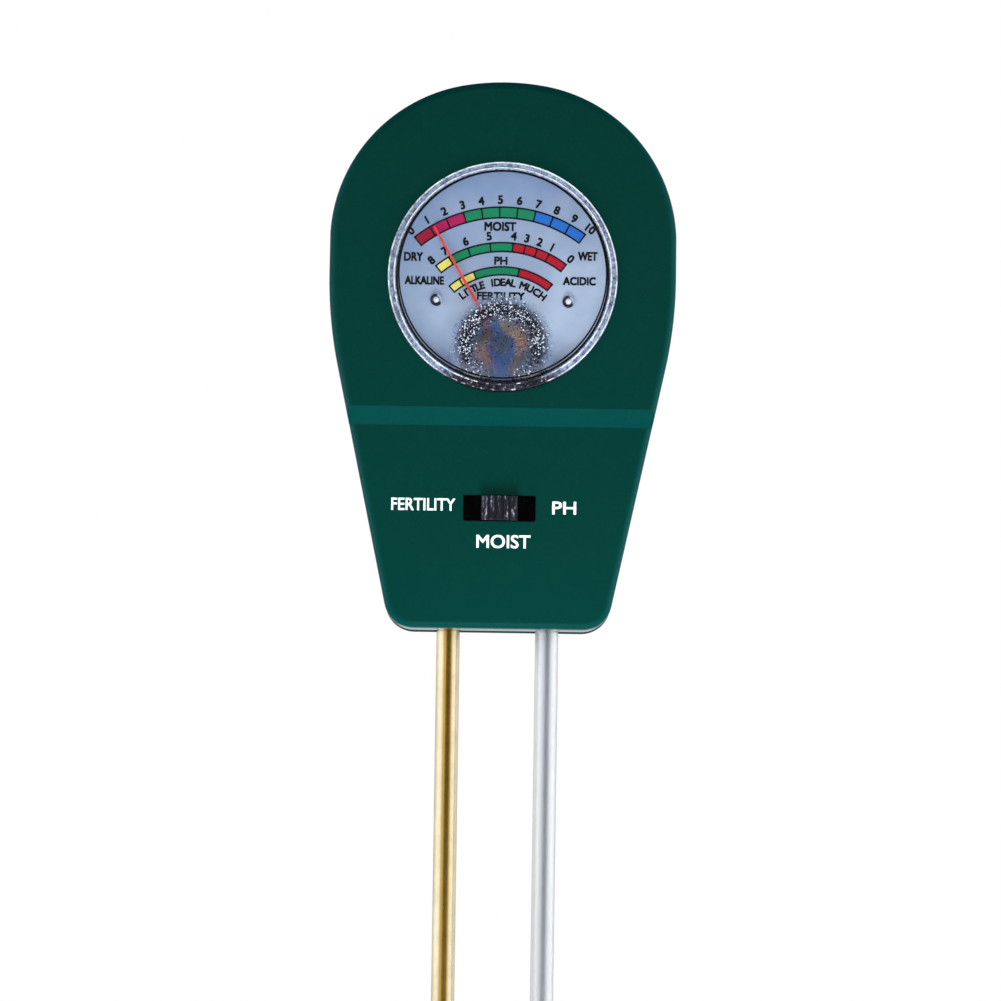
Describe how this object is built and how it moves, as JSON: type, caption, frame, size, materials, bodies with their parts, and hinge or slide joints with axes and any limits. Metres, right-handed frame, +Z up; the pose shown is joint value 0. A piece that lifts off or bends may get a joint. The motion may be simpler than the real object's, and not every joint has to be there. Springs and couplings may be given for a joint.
{
  "type": "soil meter",
  "caption": "Hand-held soil meter: teal case with a round moving-coil dial, a sliding selector switch and two parallel metal probes.",
  "frame": {"origin": "midway between the two probe axes, in the plane of the housing's underside", "axes": "+Z up along the probes towards the dial, +X to the viewer's right, the dial faces -Y"},
  "size_m": [0.065, 0.0304, 0.2826],
  "materials": {
    "housing_plastic": "satin, fine moulded grain",
    "clear_plastic": "clear, polished",
    "dial_print": "satin silver-blue with printed bands",
    "screw_steel": "zinc plated",
    "black_plastic": "moulded",
    "magnet_steel": "ground",
    "white_plastic": "moulded",
    "blue_paint": "painted",
    "brass": "polished",
    "copper_wire": "enamelled winding",
    "spring_bronze": "polished",
    "coil_frame": "bright",
    "staff_steel": "polished",
    "pointer_red": "red paint",
    "tinned_steel": "tinned",
    "phenolic": "laminated board",
    "knob_plastic": "satin, ribbed",
    "resistor_body": "lacquered, banded",
    "probe_brass": "polished",
    "probe_aluminium": "polished",
    "red_insulation": "smooth",
    "black_insulation": "smooth"
  },
  "bodies": {
    "housing": {"front_shell": "housing_plastic", "rear_shell": "housing_plastic", "shell_screws": "screw_steel", "lens": "clear_plastic", "dial_plate": "dial_print", "dial_rivets": "screw_steel", "movement_frame": "black_plastic", "movement_screws": "screw_steel", "yoke_ring": "tinned_steel", "core_magnet": "magnet_steel", "core_support": "white_plastic", "front_bridge": "blue_paint", "bridge_screw": "screw_steel", "front_jewel_screw": "staff_steel", "rear_jewel_screw": "staff_steel", "rear_spring_anchor": "brass", "switch_frame": "tinned_steel", "switch_base": "black_plastic", "switch_terminals": "tinned_steel", "circuit_board": "phenolic", "board_screws": "screw_steel", "resistors": "resistor_body", "brass_probe": "probe_brass", "aluminium_probe": "probe_aluminium", "probe_terminals": "tinned_steel", "terminal_screws": "screw_steel", "brass_probe_lead": "red_insulation", "aluminium_probe_lead": "black_insulation", "front_meter_lead": "black_insulation", "rear_meter_lead": "red_insulation"},
    "pointer_assembly": {"pointer": "pointer_red", "balance_weights": "brass", "front_staff": "staff_steel", "rear_staff": "staff_steel", "coil_former": "coil_frame", "coil_winding": "copper_wire", "front_hairspring": "spring_bronze", "rear_hairspring": "spring_bronze"},
    "switch_slider": {"switch_knob": "knob_plastic", "switch_contacts": "spring_bronze"},
    "zero_adjuster": {"zero_adjust_lever": "blue_paint"}
  },
  "joints": [
    {"name": "pointer_swing", "type": "hinge", "parent": "housing", "child": "pointer_assembly", "pos_m": [0, 0, 0.0528], "axis": [0, 1, 0], "range_deg": [-9, 68.5], "stiffness_Nm_per_rad": 0.00002, "deforming": ["front_hairspring", "rear_hairspring"]},
    {"name": "switch_slide", "type": "slide", "parent": "housing", "child": "switch_slider", "axis": [1, 0, 0], "range_m": [-0.0032, 0.0032]},
    {"name": "zero_adjust", "type": "hinge", "parent": "housing", "child": "zero_adjuster", "pos_m": [0, 0, 0.0528], "axis": [0, 1, 0], "range_deg": [-10, 10], "deforming": ["front_hairspring"]}
  ]
}
